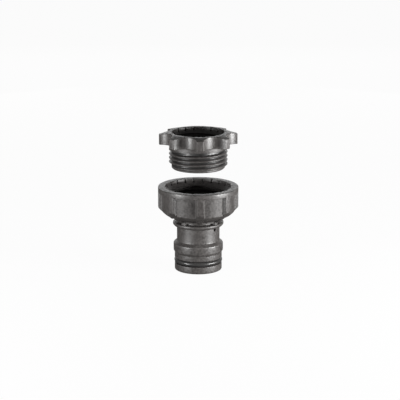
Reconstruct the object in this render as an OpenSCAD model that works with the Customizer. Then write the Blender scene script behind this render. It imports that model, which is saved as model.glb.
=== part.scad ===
// Threaded tap connector for a garden hose, with a screw-in reducer bush lifted out above it.
// The connector stands on the end face of its nipple. Z is the common axis, all sizes are in millimetres.

/* [Nipple] */
// Diameter of the lands on both sides of the seal groove
land_d = 26.9; // [26:0.1:27.4]
// Height of the tip land under the seal groove
tip_h = 4.0; // [3:0.1:6]
// Edge chamfer of the tip
tip_chamfer = 0.5; // [0.2:0.1:1]
// Diameter of the bottom of the seal groove
groove_d = 22.4; // [21.6:0.1:23]
// Height of the seal groove
groove_h = 3.2; // [2.8:0.1:4]
// Height of the land above the seal groove
land_h = 3.0; // [2:0.1:5]
// Depth of the fine relief line under the collar
relief_depth = 0.25; // [0.1:0.05:0.5]
// Height of the slope from the relief line out to the collar
step_h = 1.2; // [0.8:0.1:2]
// Diameter of the locking collar
collar_d = 28.2; // [27.6:0.1:29]
// Height of the locking collar
collar_h = 4.3; // [3:0.1:6]
// Height of the slope from the collar in to the neck
shoulder_h = 1.5; // [1:0.1:2.5]
// Diameter of the neck behind the collar
neck_d = 24.3; // [23:0.1:25]
// Length of the neck
neck_h = 8.6; // [6:0.1:14]
// Diameter of the waterway
water_d = 16; // [12:0.5:17]

/* [Flange] */
// Diameter of the flange above the neck
flange_d = 28.8; // [28:0.1:30]
// Height of the flange
flange_h = 2.2; // [1.5:0.1:3]
// Chamfer of the flange's lower edge
flange_chamfer = 0.9; // [0.4:0.1:1.2]
// Diameter of the waist between the flange and the nut
waist_d = 21.4; // [20:0.1:22.4]
// Height of the waist
waist_h = 1.0; // [0.4:0.1:2]
// Number of posts that bridge the gap over the flange
post_count = 4; // [2:1:8]
// Width of one post
post_w = 2.2; // [1.5:0.1:3]
// Radial inset of the posts from the flange edge
post_inset = 0.9; // [0.3:0.1:2]
// Angle of the first post about the axis
post_angle = 50; // [0:1:90]
// Width of the drain notch under the flange
drain_w = 3.6; // [1.5:0.1:4.5]
// Height of the drain notch under the flange
drain_h = 2.5; // [1:0.1:3]
// Depth of the drain notch in the neck wall
drain_depth = 1.2; // [0.5:0.1:1.5]

/* [Nut] */
// Diameter of the skirt under the nut
skirt_d = 25.4; // [23:0.1:28]
// Height of the skirt
skirt_h = 0.7; // [0.4:0.1:1.2]
// Diameter at which the underside cone begins, on the ledge over the skirt
ledge_d = 30.4; // [29:0.1:33]
// Height of the nut's underside from the waist to the ribs
cone_h = 3.8; // [3:0.1:6]
// Diameter of the underside cone where the ribs start
cone_d = 37.9; // [35:0.1:39]
// Diameter over the ribs and the rim band
nut_d = 45.6; // [44:0.1:50]
// Diameter over the panels between the ribs
panel_d = 41.6; // [40.5:0.1:42.5]
// Height of the bottom chamfer of the ribs
rib_chamfer_h = 3.6; // [2:0.1:5]
// Height from the ribs' lower end to the rim band
panel_h = 12.7; // [11:0.1:18]
// Height of the rim band
band_h = 2.9; // [2:0.1:5]
// Number of grip ribs on the nut, and of lugs on the reducer
grip_count = 8; // [6:1:10]
// Angle of the first rib and lug about the axis
grip_angle = 3; // [0:1:45]
// Width of a rib at its face
rib_face_w = 3.9; // [3:0.1:5]
// Width of a rib at its foot
rib_foot_w = 5.1; // [4:0.1:6]
// Diameter of the counterbore in the rim
mouth_d = 37.5; // [36:0.1:39]
// Number of small grooves around the counterbore
mouth_groove_count = 22; // [12:1:32]
// Height of the seat under the washer over the ribs' lower end
seat_rise = 0.8; // [0.5:0.1:1.5]

/* [Threads] */
// Pitch of the large thread that joins connector and reducer
joint_pitch = 2.309; // [2:0.001:2.6]
// Major diameter of the large male thread
joint_major_d = 33.1; // [32.8:0.05:33.4]
// Minor diameter of the large male thread
joint_minor_d = 30.1; // [29.5:0.05:30.6]
// Diameter over the crests of the large female thread
joint_bore_d = 31.2; // [30.9:0.05:31.6]
// Pitch of the tap thread in the reducer
tap_pitch = 1.814; // [1.6:0.001:2]
// Major diameter of the tap thread
tap_major_d = 26.44; // [26.2:0.01:26.6]
// Diameter over the crests of the tap thread in the reducer
tap_bore_d = 25; // [24.8:0.05:25.4]
// Width of the flat on the male thread's crest
crest_w = 0.4; // [0.3:0.05:0.45]
// Width of the flat in the roots of the female threads
root_w = 0.3; // [0.25:0.05:0.4]
// Radial room over the crests in a female thread
crest_gap = 0.15; // [0.1:0.05:0.3]
// Depth of the straight wall of both counterbores
mouth_depth = 1.4; // [1:0.1:2]
// Depth of the small grooves in that wall and the lead-in below it
mouth_groove_h = 2.4; // [1.5:0.1:3]
// Angle of the lead-in from a counterbore to its thread, over the horizontal
lead_in = 42; // [30:1:60]

/* [Reducer] */
// Gap between the reducer and the nut's rim, as lifted out
lift_gap = 10.65; // [5:0.05:30]
// Height of the plain land under the reducer's thread
pilot_h = 1.7; // [1.2:0.1:3]
// Edge chamfer of the plain land
pilot_chamfer = 0.6; // [0.2:0.1:1]
// Height of the threaded length
thread_h = 9.9; // [7:0.1:12]
// Height of the first thread crest over the reducer's end face
first_crest = 2.7; // [2:0.05:4]
// Diameter of the shoulder ring over the thread
ring_d = 32.8; // [32:0.1:34]
// Height of the shoulder ring
ring_h = 2.25; // [1.5:0.05:4]
// Height of the lugged head
head_h = 6.85; // [5:0.05:12]
// Diameter over the lugs
lug_d = 44.2; // [42:0.1:48]
// Width of a lug at its tip
lug_w = 3.6; // [2.5:0.1:5]
// Smallest diameter of the head, between the lugs
scallop_d = 34; // [33.5:0.1:36]
// Diameter at which the lugs begin to slope down
slope_d = 33.6; // [33:0.1:33.8]
// Fall of a lug's top from there to its tip
slope_fall = 1.15; // [0.3:0.05:2]
// Diameter of the counterbore in the head
head_mouth_d = 29.8; // [28:0.1:30.4]
// Number of small grooves around the head's counterbore
head_groove_count = 18; // [12:1:28]
// Thickness of the inner lip that holds the washer
lip_h = 2; // [1.5:0.1:3]
// Diameter of the hole in the inner lip
lip_bore_d = 18; // [15:0.5:20]

/* [Seals] */
// Diameter of the O-ring's section
ring_section = 2.5; // [2.3:0.05:2.7]
// Outer diameter of the washer in the connector
joint_washer_d = 32.6; // [31:0.1:33]
// Hole of the washer in the connector
joint_washer_bore = 20; // [17:0.5:22]
// Outer diameter of the washer in the reducer
tap_washer_d = 26.2; // [25:0.1:26.4]
// Hole of the washer in the reducer
tap_washer_bore = 17; // [14:0.5:20]
// Thickness of both washers
washer_t = 2.5; // [2:0.1:2.8]
// Room over a washer, under the first thread
washer_room = 0.5; // [0.3:0.1:1]

/* [Hidden] */
// Levels of the connector, from the nipple's end face up
groove_z = tip_h;
land_z = groove_z + groove_h;
step_z = land_z + land_h;
collar_z = step_z + step_h;
shoulder_z = collar_z + collar_h;
neck_z = shoulder_z + shoulder_h;
flange_z = neck_z + neck_h;
waist_z = flange_z + flange_h;
cone_z = waist_z + waist_h;
ledge_z = cone_z + skirt_h;
rib_z = cone_z + cone_h;
band_z = rib_z + panel_h;
rim_z = band_z + band_h;
seat_z = rib_z + seat_rise;
joint_bore_z = seat_z + washer_t + washer_room;

// Levels of the reducer, from its own end face up
ring_z = pilot_h + thread_h;
head_z = ring_z + ring_h;
head_top = head_z + head_h;
tap_bore_z = lip_h + washer_t + washer_room;
reducer_z = rim_z + lift_gap;

// Female threads clear the male crests by crest_gap, and a chamber clears the thread roots
joint_root_d = joint_major_d + 2 * crest_gap;
tap_root_d = tap_major_d + 2 * crest_gap;
chamber_gap = 0.1;
flank = tan(27.5);

// The groove in the nut lies on the same helix as the ridge on the lifted reducer,
// so that the two stay in mesh all the way down
joint_phase = (reducer_z + first_crest) % joint_pitch;

// Scallop between two lugs: an arc through the smallest diameter that leaves lug_w at the tip
lug_r = lug_d / 2;
scallop_r = scallop_d / 2;
scallop_spread = 180 / grip_count - asin(lug_w / lug_d);
scallop_centre = (lug_r ^ 2 - scallop_r ^ 2) / (2 * (lug_r * cos(scallop_spread) - scallop_r));

// Sink of one body into its neighbour where they are fused
sink = 0.2;
// Steps per turn along a thread, and the part of a turn over which it fades in
turn_steps = 48;
fade_steps = 8;
round_groove_d = 1.3;
plastic = "#4c4745";
rubber = "#151515";
$fn = 96;

// A right-hand helical bar with a trapezoid section whose crest is top_w wide, rising from z_from
// to z_to, with its crest at height z_zero where it crosses the X axis
module helix_bar(pitch, inner_r, crest_r, top_w, z_zero, z_from, z_to, fade) {
    steps = ceil((z_to - z_from) / pitch * turn_steps);
    start = (z_from - z_zero) / pitch * 360;
    function rise(i) = fade ? min(1, i / fade_steps, (steps - i) / fade_steps) : 1;
    function reach(i) = inner_r + (crest_r - inner_r) * max(0.1, rise(i));
    function corner(i, r, half) = let (a = start + i * 360 / turn_steps)
        [r * cos(a), r * sin(a), z_zero + a / 360 * pitch + half];
    function foot(i) = top_w / 2 + (reach(i) - inner_r) * flank;
    corners = [for (i = [0 : steps]) each [
        corner(i, inner_r, -foot(i)),
        corner(i, reach(i), -top_w / 2),
        corner(i, reach(i), top_w / 2),
        corner(i, inner_r, foot(i)),
    ]];
    sides = [for (i = [0 : steps - 1], j = [0 : 3]) let (a = 4 * i + j, b = 4 * i + (j + 1) % 4)
        each [[a, b, b + 4], [a, b + 4, a + 4]]];
    last = 4 * steps;
    ends = [[0, 3, 2], [0, 2, 1], [last, last + 1, last + 2], [last, last + 2, last + 3]];
    polyhedron(corners, concat(sides, ends));
}

// Cuts a female thread: the bore over the crests, and the helical groove behind them
module thread_cutter(pitch, bore_d, root_d, z_zero, z_from, z_to) {
    overrun = root_w / 2 + ((root_d - bore_d) / 2 + 2 * sink) * flank;
    translate([0, 0, z_from - sink])
        cylinder(d = bore_d, h = z_to - z_from + 2 * sink);
    helix_bar(pitch, bore_d / 2 - 2 * sink, root_d / 2, root_w, z_zero,
              z_from - overrun, z_to + overrun, false);
}

// Cuts the mouth of a female thread, down from z_top: a counterbore, a conical lead-in under it
// to the thread's crests, and small vertical grooves around the wall
module mouth_cutter(d, bore_d, count, z_top) {
    inner_r = bore_d / 2 - sink;
    lead_h = (d / 2 - inner_r) * tan(lead_in);
    rotate_extrude()
        polygon([
            [0, z_top - mouth_depth - lead_h],
            [inner_r, z_top - mouth_depth - lead_h],
            [d / 2, z_top - mouth_depth],
            [d / 2, z_top + sink],
            [0, z_top + sink],
        ]);
    for (i = [0 : count - 1])
        rotate(i * 360 / count)
            translate([d / 2, 0, z_top - mouth_groove_h])
                cylinder(d = round_groove_d, h = mouth_groove_h + sink, $fn = 24);
}

// Outline of the ribs in plan: trapezoids that widen towards the axis, from 1 mm inside the panels
// to 1 mm outside the ribs' faces
module rib_plan() {
    slope = (rib_foot_w - rib_face_w) / (nut_d - panel_d);
    inner_w = rib_foot_w + 2 * slope;
    outer_w = rib_face_w - 2 * slope;
    for (i = [0 : grip_count - 1])
        rotate(grip_angle + i * 360 / grip_count)
            polygon([[panel_d / 2 - 1, -inner_w / 2], [nut_d / 2 + 1, -outer_w / 2],
                     [nut_d / 2 + 1, outer_w / 2], [panel_d / 2 - 1, inner_w / 2]]);
}

// Turned form of the connector, with the nut as wide as its ribs all round
module connector_body() {
    rotate_extrude()
        polygon([
            [0, 0],
            [land_d / 2 - tip_chamfer, 0],
            [land_d / 2, tip_chamfer],
            [land_d / 2, groove_z],
            [groove_d / 2, groove_z],
            [groove_d / 2, land_z],
            [land_d / 2, land_z],
            [land_d / 2, step_z - relief_depth],
            [land_d / 2 - relief_depth, step_z],
            [collar_d / 2, collar_z],
            [collar_d / 2, shoulder_z],
            [neck_d / 2, neck_z],
            [neck_d / 2, flange_z],
            [flange_d / 2 - flange_chamfer, flange_z],
            [flange_d / 2, flange_z + flange_chamfer],
            [flange_d / 2, waist_z],
            [waist_d / 2, waist_z],
            [waist_d / 2, cone_z],
            [skirt_d / 2, cone_z],
            [skirt_d / 2, ledge_z],
            [ledge_d / 2, ledge_z],
            [cone_d / 2, rib_z],
            [nut_d / 2, rib_z + rib_chamfer_h],
            [nut_d / 2, rim_z],
            [0, rim_z],
        ]);
}

// Hollows that leave the ribs and the rim band standing over the panels
module panel_hollows() {
    translate([0, 0, rib_z - 1])
        linear_extrude(panel_h + 1)
            difference() {
                circle(d = nut_d + 1);
                circle(d = panel_d);
                rib_plan();
            }
}

// Posts that carry the nut's underside on the flange
module posts() {
    start = waist_d / 2 - sink;
    for (i = [0 : post_count - 1])
        rotate(post_angle + i * 360 / post_count)
            translate([start, -post_w / 2, waist_z - sink])
                cube([flange_d / 2 - post_inset - start, post_w, waist_h + skirt_h + 2 * sink]);
}

// Triangular drain notch in the neck, under the flange
module drain_notch() {
    rotate(post_angle - 90)
        translate([neck_d / 2 - drain_depth, 0, flange_z])
            rotate([90, 0, 90])
                linear_extrude(drain_depth + sink)
                    polygon([[-drain_w / 2, 0], [0, -drain_h], [drain_w / 2, 0]]);
}

module connector() {
    color(plastic)
        difference() {
            union() {
                connector_body();
                posts();
            }
            panel_hollows();
            translate([0, 0, -1])
                cylinder(d = water_d, h = seat_z + 2);
            translate([0, 0, seat_z])
                cylinder(d = joint_root_d + 2 * chamber_gap, h = joint_bore_z - seat_z);
            thread_cutter(joint_pitch, joint_bore_d, joint_root_d, joint_phase,
                          joint_bore_z, rim_z - mouth_depth);
            mouth_cutter(mouth_d, joint_bore_d, mouth_groove_count, rim_z);
            drain_notch();
        }
}

module o_ring() {
    color(rubber)
        translate([0, 0, groove_z + groove_h / 2])
            rotate_extrude()
                translate([(groove_d + ring_section) / 2, 0])
                    circle(d = ring_section, $fn = 48);
}

module washer(d, bore, z) {
    color(rubber)
        translate([0, 0, z])
            difference() {
                cylinder(d = d, h = washer_t);
                translate([0, 0, -1])
                    cylinder(d = bore, h = washer_t + 2);
            }
}

module socket_washer() {
    washer(joint_washer_d, joint_washer_bore, seat_z);
}

module reducer_washer() {
    washer(tap_washer_d, tap_washer_bore, reducer_z + lip_h);
}

// Turned core of the reducer, from its end face up to the head
module reducer_core() {
    rotate_extrude()
        polygon([
            [0, 0],
            [joint_minor_d / 2 - pilot_chamfer, 0],
            [joint_minor_d / 2, pilot_chamfer],
            [joint_minor_d / 2, ring_z],
            [ring_d / 2, ring_z],
            [ring_d / 2, head_z + sink],
            [0, head_z + sink],
        ]);
}

// Head with lugs between scallops, the lugs' tops sloping down to their tips
module reducer_head() {
    intersection() {
        translate([0, 0, head_z])
            linear_extrude(head_h)
                difference() {
                    circle(r = lug_r);
                    for (i = [0 : grip_count - 1])
                        rotate(grip_angle + (i + 0.5) * 360 / grip_count)
                            translate([scallop_centre, 0])
                                circle(r = scallop_centre - scallop_r);
                }
        rotate_extrude()
            polygon([
                [0, head_z],
                [lug_r + 1, head_z],
                [lug_r + 1, head_top - slope_fall * (lug_r + 1 - slope_d / 2) / (lug_r - slope_d / 2)],
                [slope_d / 2, head_top],
                [0, head_top],
            ]);
    }
}

module reducer() {
    color(plastic)
        translate([0, 0, reducer_z])
            difference() {
                union() {
                    reducer_core();
                    reducer_head();
                    helix_bar(joint_pitch, joint_minor_d / 2 - sink, joint_major_d / 2, crest_w,
                              first_crest, pilot_h, ring_z - crest_w, true);
                }
                translate([0, 0, -1])
                    cylinder(d = lip_bore_d, h = lip_h + 2);
                translate([0, 0, lip_h])
                    cylinder(d = tap_root_d + 2 * chamber_gap, h = tap_bore_z - lip_h);
                thread_cutter(tap_pitch, tap_bore_d, tap_root_d, 0, tap_bore_z, head_top - mouth_depth);
                mouth_cutter(head_mouth_d, tap_bore_d, head_groove_count, head_top);
            }
}

connector();
o_ring();
socket_washer();
reducer();
reducer_washer();
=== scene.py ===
import math

import bmesh
import bpy
import numpy as np
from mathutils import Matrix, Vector


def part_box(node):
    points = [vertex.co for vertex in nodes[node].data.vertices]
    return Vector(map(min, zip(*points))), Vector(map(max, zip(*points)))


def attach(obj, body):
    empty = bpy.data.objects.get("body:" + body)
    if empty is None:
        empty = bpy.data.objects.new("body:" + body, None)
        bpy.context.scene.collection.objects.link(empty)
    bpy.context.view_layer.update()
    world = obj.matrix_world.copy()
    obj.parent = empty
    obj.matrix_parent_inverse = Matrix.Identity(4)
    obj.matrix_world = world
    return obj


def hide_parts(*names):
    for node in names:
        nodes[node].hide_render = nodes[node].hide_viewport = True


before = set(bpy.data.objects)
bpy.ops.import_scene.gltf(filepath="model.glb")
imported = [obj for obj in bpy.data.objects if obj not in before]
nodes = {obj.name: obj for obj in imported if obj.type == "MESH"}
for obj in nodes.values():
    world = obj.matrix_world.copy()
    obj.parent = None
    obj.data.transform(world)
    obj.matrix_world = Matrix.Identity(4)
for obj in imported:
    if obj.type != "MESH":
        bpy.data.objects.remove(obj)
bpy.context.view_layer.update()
print("frame loaded:", sorted(nodes))

mm = 0.001
turn = 2 * math.pi
flankAngle = 27.5  # of a pipe thread, in degrees from the plane across the axis
threadCorner = 0.06  # rounding of its crests and roots, as a share of the flank
sharpFrom = 38  # degrees between two faces that show a sharp edge
weldWithin = 2e-6  # metres
plainColumns = np.arange(0, 360, 6.0)
ringColumns = np.linspace(0, 360, 145)
washerColumns = np.linspace(0, 360, 97)


# Camera: the photo's angle, 0.85 m away and a little above the rims
view = {
    "target": (0.0010, 0.0, 0.0402),
    "distance": 0.85,
    "elevation": 14.1,
    "lens": 134.6,
}


def placeCamera(v):
    lift = math.radians(v["elevation"])
    target = Vector(v["target"])
    eye = target + v["distance"] * Vector((0.0, -math.cos(lift), math.sin(lift)))
    data = bpy.data.cameras.new("camera")
    data.lens = v["lens"]
    data.clip_start = 0.01
    camera = bpy.data.objects.new("camera", data)
    camera.location = eye
    camera.rotation_euler = (target - eye).to_track_quat("-Z", "Y").to_euler()
    bpy.context.scene.collection.objects.link(camera)
    bpy.context.scene.camera = camera


placeCamera(view)
print("camera placed")


# Soft clamp of t between 0 and 1: a straight ramp whose two corners are rounded over about the given width
def softClamp(t, width):
    low = 0.5 * (t + np.sqrt(t * t + width * width))
    return low - 0.5 * ((low - 1) + np.sqrt((low - 1) ** 2 + width * width))


# Smallest signed angle from the nearest of count equal steps that begin at first, in degrees
def offsetFrom(angles, first, count):
    step = 360.0 / count
    return (angles - first + step / 2) % step - step / 2


# All angles of a repeating pattern: each offset, both ways, around each of count centres
def spread(first, count, offsets):
    centres = first + np.arange(count) * 360.0 / count
    both = np.concatenate([np.array(offsets), -np.array(offsets)])
    return (centres[:, None] + both[None, :]).ravel()


# Sorted list of columns once round the axis, with those that nearly meet joined
def columnAngles(*lists):
    nearest = 0.066  # degrees between two columns, at least
    seam = 0.05
    every = np.sort(np.concatenate([np.asarray(a, float).ravel() for a in lists]) % 360.0)
    kept = every[np.concatenate([[True], np.diff(every) > nearest])]
    kept = kept[(kept > seam) & (kept < 360.0 - seam)]
    return np.concatenate([[0.0], kept, [360.0]])


# A profile with rounded corners: each corner (r, z, soft) becomes a parabola between the points that lie
# soft along both of its sides. r and z may differ from column to column.
def roundedRows(corners, columns, steps=4):
    mostOfSide = 0.45  # a corner takes less than half of a side
    radius = np.array([np.broadcast_to(c[0], columns) for c in corners], float)
    height = np.array([np.broadcast_to(c[1], columns) for c in corners], float)
    points = np.stack([radius, height], axis=-1)
    rows = []
    for i, corner in enumerate(corners):
        here = points[i]
        if corner[2] == 0 or i in (0, len(corners) - 1):
            rows.append(here)
            continue
        back = points[i - 1] - here
        ahead = points[i + 1] - here
        backLength = np.linalg.norm(back, axis=-1, keepdims=True) + 1e-9
        aheadLength = np.linalg.norm(ahead, axis=-1, keepdims=True) + 1e-9
        start = here + back / backLength * np.minimum(corner[2], mostOfSide * backLength)
        end = here + ahead / aheadLength * np.minimum(corner[2], mostOfSide * aheadLength)
        for t in np.linspace(0, 1, steps + 1):
            rows.append((1 - t) ** 2 * start + 2 * t * (1 - t) * here + t**2 * end)
    return rows


# Rows of a threaded wall: each row follows the helix z = phase + pitch * (turns + share of a turn) + offset,
# held between low and high. The radius there is base + depth * a trapezoid of the distance to the helix.
# A female thread opens into a conical lead-in, which wins wherever it is wider.
def threadRows(t, angles, upward):
    flank = abs(t["depth"]) * math.tan(math.radians(flankAngle))
    half = t["flat"] / 2
    soft = 0.07  # the rows stand this far on either side of each edge of the trapezoid
    offsets = [half - soft, half + soft, half + flank - soft, half + flank + soft]
    offsets = sorted([-x for x in offsets] + offsets)
    share = angles / 360.0
    first = math.floor((t["low"] - t["phase"]) / t["pitch"]) - 2
    last = math.ceil((t["high"] - t["phase"]) / t["pitch"]) + 1
    rows = []
    for n in range(first, last + 1):
        for offset in offsets:
            z = np.clip(t["phase"] + t["pitch"] * (n + share) + offset, t["low"], t["high"])
            rows.append(np.stack([threadRadius(t, z, share, half, flank), z], axis=-1))
    edge = np.full_like(share, t["low"])
    rows.insert(0, np.stack([threadRadius(t, edge, share, half, flank), edge], axis=-1))
    edge = np.full_like(share, t["high"])
    rows.append(np.stack([threadRadius(t, edge, share, half, flank), edge], axis=-1))
    return rows if upward else rows[::-1]


def threadRadius(t, z, share, half, flank):
    growTurns = 1 / 6  # the ridge grows out of the core over this part of a turn
    along = (z - t["phase"]) / t["pitch"] - share
    count = np.round(along)
    away = np.abs(along - count) * t["pitch"]
    rise = softClamp((half + flank - away) / flank, threadCorner)
    if "from" in t:
        centre = t["phase"] + t["pitch"] * (count + share)
        grow = np.minimum(centre - t["from"], t["to"] - centre) / (t["pitch"] * growTurns)
        rise = rise * np.clip(grow, 0, 1)
    radius = t["base"] + t["depth"] * rise
    if "leadLow" in t:
        radius = np.maximum(radius, t["base"] + (z - t["leadLow"]) / t["leadSlope"])
    return radius


# Turns the rows around the axis: a point at radius r, height z and column angle a is (r cos a, r sin a, z).
# The last row joins the first, so the surface is closed.
def turnedPiece(name, rows, angles, body, lift=0.0):
    grid = np.stack(rows)
    around = np.radians(angles)[None, :]
    r, z = grid[..., 0], grid[..., 1] + lift
    points = np.stack([r * np.cos(around), r * np.sin(around), z], axis=-1) * mm
    rowCount, columnCount = r.shape
    index = np.arange(rowCount * columnCount).reshape(rowCount, columnCount)
    below, above = index, np.roll(index, -1, axis=0)
    quads = np.stack([below[:, :-1], below[:, 1:], above[:, 1:], above[:, :-1]], axis=-1).reshape(-1, 4)
    mesh = bpy.data.meshes.new(name)
    mesh.from_pydata(points.reshape(-1, 3).tolist(), [], quads.tolist())
    welded = bmesh.new()
    welded.from_mesh(mesh)
    bmesh.ops.remove_doubles(welded, verts=welded.verts, dist=weldWithin)
    bmesh.ops.dissolve_degenerate(welded, dist=weldWithin / 2, edges=welded.edges)
    bmesh.ops.recalc_face_normals(welded, faces=welded.faces)
    welded.to_mesh(mesh)
    welded.free()
    mesh.polygons.foreach_set("use_smooth", [True] * len(mesh.polygons))
    mesh.set_sharp_from_angle(angle=math.radians(sharpFrom))
    piece = bpy.data.objects.new(name, mesh)
    bpy.context.scene.collection.objects.link(piece)
    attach(piece, body)
    print(name, "made:", len(mesh.polygons), "faces")
    return piece


# Depth of the small round grooves around a mouth, at each column
def mouthGrooves(angles, radius, count, diameter):
    across = np.radians(offsetFrom(angles, 0.0, count)) * radius
    return np.sqrt(np.maximum((diameter / 2) ** 2 - across**2, 0.0))


def grooveColumns(radius, count, diameter):
    across = diameter / 2 * np.array([0.0, 0.38, 0.71, 0.92, 1.0, 1.06])
    return spread(0.0, count, np.degrees(across / radius))


# Rows of a thread's mouth, down from the rim: the counterbore with its small grooves,
# which run out in the lead-in
def mouthRows(f, rim, grooves):
    step = 0.02  # from the groove's end to the lead-in
    share = grooves / (f["mouthGrooveDiameter"] / 2)
    wallEnd = rim - f["mouthDepth"]
    runOut = wallEnd - share * (f["mouthGrooveHeight"] - f["mouthDepth"])
    return [
        (f["mouth"] + grooves, rim, 0.3),
        (f["mouth"] + grooves, runOut, 0.1),
        (f["mouth"] - (wallEnd - runOut) / f["leadSlope"] - step, runOut - step, 0),
    ]


# What both mouldings share: the angles of ribs and lugs, the pitches, and the flats on the male crests
# and in the female roots
grip = {"count": 8, "first": 3.0}
jointThread = {"pitch": 2.309}
tapThread = {"pitch": 1.814}
crestFlat = 0.4
rootFlat = 0.3


# The connector's moulding, all sizes in millimetres
connectorForm = {
    "bore": 8.0,
    "land": 13.45,
    "relief": 0.25,
    "groove": 11.2,
    "collar": 14.1,
    "neck": 12.15,
    "flange": 14.4,
    "flangeChamfer": 0.9,
    "waist": 10.7,
    "post": 13.5,
    "postHalfAngle": 4.67,
    "postFirst": 50.0,
    "postCount": 4,
    "postRound": 0.4,
    "postBlend": 0.6,
    "skirt": 12.7,
    "skirtHeight": 0.7,
    "ribLedge": 15.2,
    "panelLedge": 13.3,
    "panelLedgeRise": 0.3,
    "cone": 18.95,
    "panel": 20.8,
    "nut": 22.8,
    "ribFaceAngle": 4.9,
    "ribFootAngle": 7.02,
    "ribColumns": [0, 2.2, 4.2, 4.6, 4.9, 5.2, 6.0, 6.7, 7.05, 7.4, 8.2, 10, 14, 18],
    "mouth": 18.75,
    "mouthDepth": 1.4,
    "mouthGrooves": 22,
    "mouthGrooveDiameter": 1.3,
    "mouthGrooveHeight": 2.4,
    "leadSlope": 0.9,
    "chamber": 16.8,
    "threadCrest": 15.6,
    "threadRoot": 16.7,
    "drainAngle": -40.0,
    "drainWidth": 3.6,
    "drainHeight": 2.5,
    "drainDepth": 1.2,
    "drainEdge": 0.3,
    "drainMargin": 0.4,
    # heights of the steps from the nipple's end face up
    "steps": {
        "tip": 4.0,
        "sealGroove": 3.2,
        "land": 3.0,
        "slope": 1.2,
        "collar": 4.3,
        "shoulder": 1.5,
        "neck": 8.6,
        "flange": 2.2,
        "waist": 1.0,
        "cone": 3.8,
        "panel": 12.7,
        "band": 2.9,
    },
    "ribChamfer": 3.6,
    "bandBlend": 0.4,
    "seatRise": 0.8,
    "washerRoom": 3.0,
}


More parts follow.
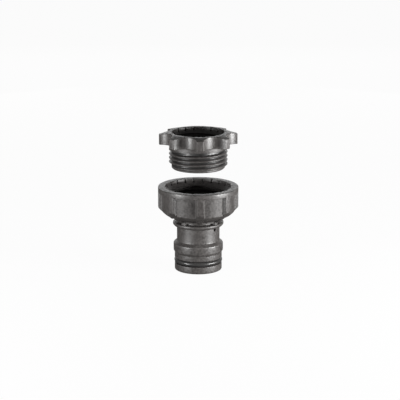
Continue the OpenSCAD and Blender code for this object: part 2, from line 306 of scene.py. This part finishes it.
# The profile goes up the outside, over the rim, down the thread and through the bore. Its radius and height
# change with the column's angle: rib, post and drain are shares from 0 to 1 that mix two radii or two heights,
# and the mouth's grooves are half circles across their distance along the wall.
def makeConnector(f, reducerBase, firstCrest):
    names = list(f["steps"])
    tops = dict(zip(names, np.cumsum([f["steps"][n] for n in names])))
    cone, band, rim = tops["cone"], tops["panel"], tops["band"]
    seat = cone + f["seatRise"]
    threadLow = seat + f["washerRoom"]
    leadLow = rim - f["mouthDepth"] - (f["mouth"] - f["threadCrest"]) * f["leadSlope"]
    threadHigh = leadLow + (f["threadRoot"] - f["threadCrest"]) * f["leadSlope"]
    soft = 0.1  # rounding of the ribs' and posts' edges
    postEdge = f["postHalfAngle"]
    drainHalf = math.degrees(f["drainWidth"] / 2 / f["neck"])
    drainTop = tops["neck"]
    angles = columnAngles(
        plainColumns,
        spread(grip["first"], grip["count"], f["ribColumns"]),
        spread(f["postFirst"], f["postCount"], [0, 2.5, *(postEdge + np.array([-0.5, -0.1, 0.3, 0.7]))]),
        grooveColumns(f["mouth"], f["mouthGrooves"], f["mouthGrooveDiameter"]),
        spread(f["drainAngle"], 1, [0, drainHalf / 3, drainHalf / 1.5]),
        spread(f["drainAngle"], 1, [drainHalf - f["drainEdge"], drainHalf, drainHalf + 3]),
    )
    fromDrain = np.abs(offsetFrom(angles, f["drainAngle"], 1))
    drain = np.clip((drainHalf - fromDrain) / f["drainEdge"], 0, 1)
    point = np.clip(1 - fromDrain / drainHalf, 0, 1)  # the notch is a triangle, its point down
    drainLow = drainTop - f["drainHeight"] * point
    fromRib = np.abs(offsetFrom(angles, grip["first"], grip["count"]))
    rib = softClamp((f["ribFootAngle"] - fromRib) / (f["ribFootAngle"] - f["ribFaceAngle"]), soft)
    fromPost = np.abs(offsetFrom(angles, f["postFirst"], f["postCount"]))
    post = softClamp((postEdge + f["postRound"] - fromPost) / f["postBlend"], soft)
    grooves = mouthGrooves(angles, f["mouth"], f["mouthGrooves"], f["mouthGrooveDiameter"])
    panelFoot = cone + (f["panel"] - f["cone"]) / (f["nut"] - f["cone"]) * f["ribChamfer"]
    ledge = tops["waist"] + f["skirtHeight"]
    panelRise = f["panelLedgeRise"] * (1 - rib)

    def mixed(low, high, share):
        return low + (high - low) * share

    outside = [
        (f["bore"], seat / 2, 0),
        (f["bore"], 0.0, 0.3),
        (f["land"], 0.0, 0.6),
        (f["land"], tops["tip"], 0.25),
        (f["groove"], tops["tip"], 0.25),
        (f["groove"], tops["sealGroove"], 0.25),
        (f["land"], tops["sealGroove"], 0.25),
        (f["land"], tops["land"] - f["relief"], 0.08),
        (f["land"] - f["relief"], tops["land"], 0.1),
        (f["collar"], tops["slope"], 0.4),
        (f["collar"], tops["collar"], 0.5),
        (f["neck"], tops["shoulder"], 0.5),
        (f["neck"], drainTop - f["drainHeight"] - f["drainMargin"], 0),
        (f["neck"], drainLow, 0),
        (f["neck"] - drain * f["drainDepth"], drainLow, 0),
        (f["neck"] - drain * f["drainDepth"], drainTop, 0),
        (f["flange"] - f["flangeChamfer"], drainTop, 0.2),
        (f["flange"], drainTop + f["flangeChamfer"], 0.3),
        (f["flange"], tops["flange"], 0.45),
        (mixed(f["waist"], f["post"], post), tops["flange"], 0.25),
        (mixed(f["waist"], f["post"], post), tops["waist"], 0.15),
        (mixed(f["skirt"], f["post"], post), tops["waist"], 0.2),
        (mixed(f["skirt"], f["post"], post), ledge + panelRise, 0.12),
        (mixed(f["panelLedge"], f["ribLedge"], rib), ledge + panelRise, 0.3),
        (f["cone"], cone, 0.5),
        (mixed(f["panel"], f["nut"], rib), mixed(panelFoot, cone + f["ribChamfer"], rib), 0.5),
        (mixed(f["panel"], f["nut"], rib), mixed(band, band - f["bandBlend"], rib), 0.2),
        (f["nut"], mixed(band, band + f["bandBlend"], rib), 0.25),
        (f["nut"], rim, 0.4),
        *mouthRows(f, rim, grooves),
        (f["threadRoot"], threadHigh, 0),
    ]
    phase = (reducerBase + firstCrest) % jointThread["pitch"]
    thread = dict(jointThread, flat=rootFlat, base=f["threadCrest"], depth=f["threadRoot"] - f["threadCrest"],
                  phase=phase, low=threadLow, high=threadHigh, leadLow=leadLow, leadSlope=f["leadSlope"])
    inside = [
        (f["threadRoot"], threadLow, 0),
        (f["chamber"], threadLow, 0.05),
        (f["chamber"], seat, 0.3),
        (f["bore"], seat, 0.3),
        (f["bore"], seat / 2, 0),
    ]
    rows = roundedRows(outside, len(angles))
    rows += threadRows(thread, angles, upward=False)
    rows += roundedRows(inside, len(angles))
    return turnedPiece("connector_moulding", rows, angles, "connector")


# The reducer's moulding, heights counted from its own end face, in millimetres
reducerForm = {
    "lipBore": 9.0,
    "core": 15.05,
    "threadCrest": 16.55,
    "pilot": 1.7,
    "pilotChamfer": 0.6,
    "firstCrest": 2.7,
    "threadTop": 11.6,
    "threadEnd": 0.4,
    "ring": 16.4,
    "headFoot": 13.85,
    "top": 20.7,
    "lug": 22.1,
    "lugWidth": 3.6,
    "lugCorner": 0.12,
    "scallop": 17.0,
    "slopeStart": 16.8,
    "slopeFall": 1.15,
    "slopeInset": 0.5,
    "mouth": 14.9,
    "mouthDepth": 1.4,
    "mouthGrooves": 18,
    "mouthGrooveDiameter": 1.3,
    "mouthGrooveHeight": 2.4,
    "leadSlope": 0.9,
    "tapCrest": 12.5,
    "tapRoot": 13.37,
    "chamber": 13.47,
    "lip": 2.0,
    "washerRoom": 3.0,
}


# The profile goes up the outside, over the rim and down the inside. A scallop is the circle through its deepest
# point and the corners of the two lugs beside it. The head's radius at an angle is the distance to that circle,
# but not more than the lugs' own radius.
def makeReducer(f, base):
    halfTip = math.degrees(math.asin(f["lugWidth"] / 2 / f["lug"]))
    halfStep = 180.0 / grip["count"]
    spreadAngle = math.radians(halfStep - halfTip)
    centre = (f["lug"] ** 2 - f["scallop"] ** 2) / (2 * (f["lug"] * math.cos(spreadAngle) - f["scallop"]))
    arc = centre - f["scallop"]
    sweep = np.radians(np.linspace(0, 84, 15))  # along the scallop's arc, from its deepest point outwards
    arcAngles = np.degrees(np.arctan2(arc * np.sin(sweep), centre - arc * np.cos(sweep)))
    angles = columnAngles(
        plainColumns,
        spread(grip["first"] + halfStep, grip["count"], arcAngles),
        spread(grip["first"], grip["count"], [0, 2, *(halfTip + np.array([-0.7, -0.3, 0, 0.2, 0.5]))]),
        grooveColumns(f["mouth"], f["mouthGrooves"], f["mouthGrooveDiameter"]),
    )
    fromScallop = np.radians(np.abs(offsetFrom(angles, grip["first"] + halfStep, grip["count"])))
    inArc = np.maximum(arc**2 - (centre * np.sin(fromScallop)) ** 2, 0.0)
    wall = centre * np.cos(fromScallop) - np.sqrt(inArc)
    reach = 0.5 * (wall + f["lug"] - np.sqrt((wall - f["lug"]) ** 2 + f["lugCorner"] ** 2))
    fall = f["slopeFall"] * np.clip((reach - f["slopeStart"]) / (f["lug"] - f["slopeStart"]), 0, 1)
    grooves = mouthGrooves(angles, f["mouth"], f["mouthGrooves"], f["mouthGrooveDiameter"])
    threadLow = f["lip"] + f["washerRoom"]
    leadLow = f["top"] - f["mouthDepth"] - (f["mouth"] - f["tapCrest"]) * f["leadSlope"]
    threadHigh = leadLow + (f["tapRoot"] - f["tapCrest"]) * f["leadSlope"]
    threadFoot = f["pilotChamfer"] + 0.15
    lower = [
        (f["lipBore"], f["lip"] / 2, 0),
        (f["lipBore"], 0.0, 0.3),
        (f["core"] - f["pilotChamfer"], 0.0, 0.2),
        (f["core"], f["pilotChamfer"], 0.1),
        (f["core"], threadFoot - 0.05, 0),
    ]
    joint = dict(jointThread, flat=crestFlat, base=f["core"], depth=f["threadCrest"] - f["core"],
                 phase=f["firstCrest"], low=threadFoot, high=f["threadTop"])
    joint["from"] = f["pilot"]
    joint["to"] = f["threadTop"] - f["threadEnd"]
    head = [
        (f["core"], f["threadTop"], 0),
        (f["ring"], f["threadTop"], 0.25),
        (f["ring"], f["headFoot"], 0.2),
        (reach, f["headFoot"], 0.35),
        (reach, f["top"] - fall, 0.35),
        (np.minimum(f["slopeStart"], reach - f["slopeInset"]), f["top"], 0.3),
        *mouthRows(f, f["top"], grooves),
        (f["tapRoot"], threadHigh, 0),
    ]
    tap = dict(tapThread, flat=rootFlat, base=f["tapCrest"], depth=f["tapRoot"] - f["tapCrest"], phase=0.0,
               low=threadLow, high=threadHigh, leadLow=leadLow, leadSlope=f["leadSlope"])
    inside = [
        (f["tapRoot"], threadLow, 0),
        (f["chamber"], threadLow, 0.05),
        (f["chamber"], f["lip"], 0.3),
        (f["lipBore"], f["lip"], 0.3),
        (f["lipBore"], f["lip"] / 2, 0),
    ]
    rows = roundedRows(lower, len(angles))
    rows += threadRows(joint, angles, upward=True)
    rows += roundedRows(head, len(angles))
    rows += threadRows(tap, angles, upward=False)
    rows += roundedRows(inside, len(angles))
    return turnedPiece("reducer_moulding", rows, angles, "reducer", lift=base)


# Radii of the holes, in millimetres
washerHoles = {"socket": 10.0, "reducer": 8.5}


def boxInMillimetres(node):
    low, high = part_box(node)
    return np.array(low) / mm, np.array(high) / mm


# A ring whose section is a rounded rectangle, between the CAD node's own faces
def makeWasher(name, node, hole, body):
    low, high = boxInMillimetres(node)
    radius = high[0]
    middle = (low[2] + high[2]) / 2
    soft = 0.35
    angles = washerColumns
    corners = [
        (hole, middle, 0),
        (hole, low[2], soft),
        (radius, low[2], soft),
        (radius, high[2], soft),
        (hole, high[2], soft),
        (hole, middle, 0),
    ]
    return turnedPiece(name, roundedRows(corners, len(angles)), angles, body)


# A torus: the section's circle carried around the axis
def makeRing(name, node, body):
    low, high = boxInMillimetres(node)
    section = (high[2] - low[2]) / 2
    middle = high[0] - section
    angles = ringColumns
    ringSteps = 32
    rows = []
    for t in np.linspace(0, turn, ringSteps + 1)[:-1]:
        r = middle - section * math.cos(t)
        z = (low[2] + high[2]) / 2 - section * math.sin(t)
        rows.append(np.stack([np.full_like(angles, r), np.full_like(angles, z)], axis=-1))
    return turnedPiece(name, rows, angles, body)


reducerBase = boxInMillimetres("reducer")[0][2]
connectorPiece = makeConnector(connectorForm, reducerBase, reducerForm["firstCrest"])
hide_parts("connector")
reducerPiece = makeReducer(reducerForm, reducerBase)
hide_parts("reducer")
ringPiece = makeRing("seal_ring", "o_ring", "connector")
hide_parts("o_ring")
socketWasher = makeWasher("joint_seal", "socket_washer", washerHoles["socket"], "connector")
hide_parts("socket_washer")
reducerWasher = makeWasher("tap_seal", "reducer_washer", washerHoles["reducer"], "reducer_seal")
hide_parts("reducer_washer")


# Shader maths: an expression on values becomes Math nodes
class Value:
    def __init__(self, tree, socket):
        self.tree = tree
        self.socket = socket

    def mathNode(self, operation, first, second):
        node = self.tree.nodes.new("ShaderNodeMath")
        node.operation = operation
        for slot, term in enumerate((first, second)):
            if isinstance(term, Value):
                self.tree.links.new(term.socket, node.inputs[slot])
            else:
                node.inputs[slot].default_value = term
        return Value(self.tree, node.outputs[0])

    def __add__(self, other):
        return self.mathNode("ADD", self, other)

    def __radd__(self, other):
        return self.mathNode("ADD", other, self)

    def __sub__(self, other):
        return self.mathNode("SUBTRACT", self, other)

    def __rsub__(self, other):
        return self.mathNode("SUBTRACT", other, self)

    def __mul__(self, other):
        return self.mathNode("MULTIPLY", self, other)

    def __rmul__(self, other):
        return self.mathNode("MULTIPLY", other, self)

    def __pow__(self, other):
        return self.mathNode("POWER", self, other)


# The emptied node tree of a material or a world. Any node comes from one method: its settings first,
# then the values or links of its sockets. It gives the output asked for, or a list of them.
class Nodes:
    def __init__(self, owner):
        owner.use_nodes = True
        self.owner = owner
        self.tree = owner.node_tree
        self.tree.nodes.clear()

    def node(self, kind, settings=None, inputs=None, output=0):
        made = self.tree.nodes.new(kind)
        for key, value in (settings or {}).items():
            setattr(made, key, value)
        for key, value in (inputs or {}).items():
            if isinstance(value, Value):
                self.tree.links.new(value.socket, made.inputs[key])
            else:
                made.inputs[key].default_value = value
        if isinstance(output, list):
            return [Value(self.tree, made.outputs[i]) for i in output]
        return Value(self.tree, made.outputs[output]) if made.outputs else None


# A ramp that goes from one level to the other while the value goes from start to end
def ramp(m, value, start, end, levels=(0.0, 1.0)):
    ends = {0: value, 1: start, 2: end, 3: levels[0], 4: levels[1]}
    return m.node("ShaderNodeMapRange", {"clamp": True}, ends)


# Painted shade for the roots of the reducer's thread: a mask that is 1 near its core, 0 at its crests and
# beyond its ends
def paintedRootShadeMask(m, where, f, base):
    inset, foot, top = 0.2, 0.4, 0.1  # millimetres over which the three ramps run
    x, y, z = m.node("ShaderNodeSeparateXYZ", {}, {0: where}, output=[0, 1, 2])
    radius = (x * x + y * y) ** 0.5
    start = base + f["pilot"]
    end = base + f["threadTop"]
    deep = ramp(m, radius, (f["core"] + inset) * mm, (f["threadCrest"] - inset) * mm, (1.0, 0.0))
    above = ramp(m, z, (start - foot) * mm, (start + foot) * mm)
    below = ramp(m, z, (end - top) * mm, (end + top) * mm, (1.0, 0.0))
    return deep * above * below


def noise(m, where, scale, detail):
    settings = {"Vector": where, "Scale": scale, "Detail": detail, "Roughness": 0.55}
    return m.node("ShaderNodeTexNoise", {}, settings)


def mixedColour(m, share, first, second):
    return m.node("ShaderNodeMix", {"data_type": "RGBA"}, {0: share, 6: first, 7: second}, output=2)


plasticFinish = {
    "dark": (0.032, 0.029, 0.0275, 1.0),
    "pale": (0.076, 0.070, 0.067, 1.0),
    # painted shade: the near-black colour laid into the roots of the reducer's thread
    "paintedRootShade": (0.010, 0.0095, 0.009, 1.0),  # in the roots of the lifted thread
    "roughness": 0.43,
    "ior": 1.6,
    "grain": 900.0,
    "grainDepth": 0.8,
    "speckle": 0.5,
}
rubberFinish = {
    "dark": (0.010, 0.010, 0.010, 1.0),
    "pale": (0.018, 0.018, 0.018, 1.0),
    "roughness": 0.5,
    "ior": 1.5,
    "grain": 1800.0,
    "grainDepth": 0.1,
    "speckle": 0.1,
}
ringFinish = {
    "dark": (0.030, 0.0295, 0.029, 1.0),
    "pale": (0.042, 0.041, 0.040, 1.0),
    "roughness": 0.30,
    "ior": 1.55,
    "grain": 900.0,
    "grainDepth": 0.03,
    "speckle": 0.05,
}


# What the finishes share: how strongly the slow clouds and the fine grain shift the colour and the gloss
mottle = {
    "cloudScale": 90.0,
    "cloudDetail": 3.0,
    "cloudColour": 0.6,
    "cloudGloss": 0.1,
    "grainDetail": 2.0,
    "grainColour": 2.0,
    "bumpDistance": 0.0001,
}


# A moulded finish: slow clouds shift the colour and the gloss a little, a fine grain roughens the surface.
# Where a finish has it, painted shade darkens the colour in the roots of the reducer's thread
def mouldedMaterial(name, finish):
    m = Nodes(bpy.data.materials.new(name))
    where = m.node("ShaderNodeTexCoord", output=3)
    clouds = noise(m, where, mottle["cloudScale"], mottle["cloudDetail"]) - 0.5
    grainHeight = noise(m, where, finish["grain"], mottle["grainDetail"])
    grain = grainHeight - 0.5
    share = clouds * mottle["cloudColour"] + grain * mottle["grainColour"] + 0.5
    colour = mixedColour(m, share, finish["dark"], finish["pale"])
    # painted shade: the roots of the reducer's thread are darkened in the base colour
    if "paintedRootShade" in finish:
        colour = mixedColour(m, paintedRootShadeMask(m, where, reducerForm, reducerBase), colour, finish["paintedRootShade"])
    roughness = clouds * mottle["cloudGloss"] + grain * finish["speckle"] + finish["roughness"]
    relief = {"Strength": finish["grainDepth"], "Distance": mottle["bumpDistance"], "Height": grainHeight}
    bump = m.node("ShaderNodeBump", {}, relief)
    sockets = {"Base Color": colour, "Roughness": roughness, "Normal": bump, "IOR": finish["ior"]}
    surface = m.node("ShaderNodeBsdfPrincipled", {}, sockets)
    m.node("ShaderNodeOutputMaterial", {}, {"Surface": surface})
    return m.owner


def dress(piece, material):
    piece.data.materials.clear()
    piece.data.materials.append(material)


plastic = mouldedMaterial("dark_moulded_plastic", plasticFinish)
rubber = mouldedMaterial("matt_washer_rubber", rubberFinish)
ringRubber = mouldedMaterial("glossy_ring_rubber", ringFinish)
for piece in (connectorPiece, reducerPiece, nodes["connector"], nodes["reducer"]):
    dress(piece, plastic)
for piece in (socketWasher, reducerWasher, nodes["socket_washer"], nodes["reducer_washer"]):
    dress(piece, rubber)
for piece in (ringPiece, nodes["o_ring"]):
    dress(piece, ringRubber)
print("materials assigned")


# Floor and studio: a pale floor, two low soft boxes in front, a panel and two weak boxes behind.
# A box stands at its azimuth from the camera's side, and aims level at the object.
studio = {
    "floorMirrored": (0.16, 0.16, 0.16, 1.0),  # what the object mirrors and is lit by
    "floorSeen": (0.9, 0.9, 0.9, 1.0),
    "floorWhite": 0.96,
    "floorHalf": 3.0,
    "floorHeight": -0.0002,  # just clear of the nipple's end face
    "world": 0.10,
    "boxes": [
        {"name": "key_right", "azimuth": 66.0, "height": 0.06, "distance": 0.40,
         "size": (0.20, 0.12), "watts": 3.4},
        {"name": "fill_left", "azimuth": -54.0, "height": 0.06, "distance": 0.40,
         "size": (0.13, 0.12), "watts": 1.75},
        {"name": "back_low", "azimuth": 180.0, "height": 0.30, "distance": 0.90,
         "size": (0.60, 0.36), "watts": 1.2},
        {"name": "back_right", "azimuth": 155.0, "height": 0.15, "distance": 0.60,
         "size": (0.30, 0.30), "watts": 0.21},
        {"name": "back_left", "azimuth": -155.0, "height": 0.15, "distance": 0.60,
         "size": (0.30, 0.30), "watts": 0.21},
    ],
}
white = (1.0, 1.0, 1.0, 1.0)


# The camera sees a nearly white floor that keeps a faint shadow, everything else meets a grey one
def makeFloor(s):
    m = Nodes(bpy.data.materials.new("studio_floor"))
    seen = m.node("ShaderNodeLightPath", output=0)
    mirrored = m.node("ShaderNodeBsdfDiffuse", {}, {"Color": s["floorMirrored"]})
    pale = m.node("ShaderNodeBsdfDiffuse", {}, {"Color": s["floorSeen"]})
    glow = m.node("ShaderNodeEmission", {}, {"Color": white, "Strength": 1.0})
    paint = m.node("ShaderNodeMixShader", {}, {0: seen, 1: mirrored, 2: pale})
    blend = m.node("ShaderNodeMixShader", {}, {0: seen * s["floorWhite"], 1: paint, 2: glow})
    m.node("ShaderNodeOutputMaterial", {}, {"Surface": blend})
    half, height = s["floorHalf"], s["floorHeight"]
    corners = [(-half, -half, height), (half, -half, height), (half, half, height), (-half, half, height)]
    mesh = bpy.data.meshes.new("floor")
    mesh.from_pydata(corners, [], [(0, 1, 2, 3)])
    mesh.materials.append(m.owner)
    floor = bpy.data.objects.new("floor", mesh)
    bpy.context.scene.collection.objects.link(floor)


def makeLight(box, target):
    around = math.radians(box["azimuth"])
    data = bpy.data.lights.new(box["name"], "AREA")
    data.shape = "RECTANGLE"
    data.size, data.size_y = box["size"]
    data.energy = box["watts"]
    light = bpy.data.objects.new(box["name"], data)
    away = box["distance"]
    light.location = (away * math.sin(around), -away * math.cos(around), box["height"])
    level = Vector((target.x, target.y, light.location.z))
    light.rotation_euler = (level - light.location).to_track_quat("-Z", "Y").to_euler()
    bpy.context.scene.collection.objects.link(light)


# White to the camera, a faint even light to everything else
def makeWorld(strength):
    w = Nodes(bpy.data.worlds.new("studio"))
    seen = w.node("ShaderNodeLightPath", output=0)
    level = seen * (1.0 - strength) + strength
    background = w.node("ShaderNodeBackground", {}, {"Color": white, "Strength": level})
    w.node("ShaderNodeOutputWorld", {}, {"Surface": background})
    bpy.context.scene.world = w.owner


makeFloor(studio)
for box in studio["boxes"]:
    makeLight(box, Vector(view["target"]))
makeWorld(studio["world"])
bpy.context.scene.view_settings.view_transform = "Standard"
print("studio lit")
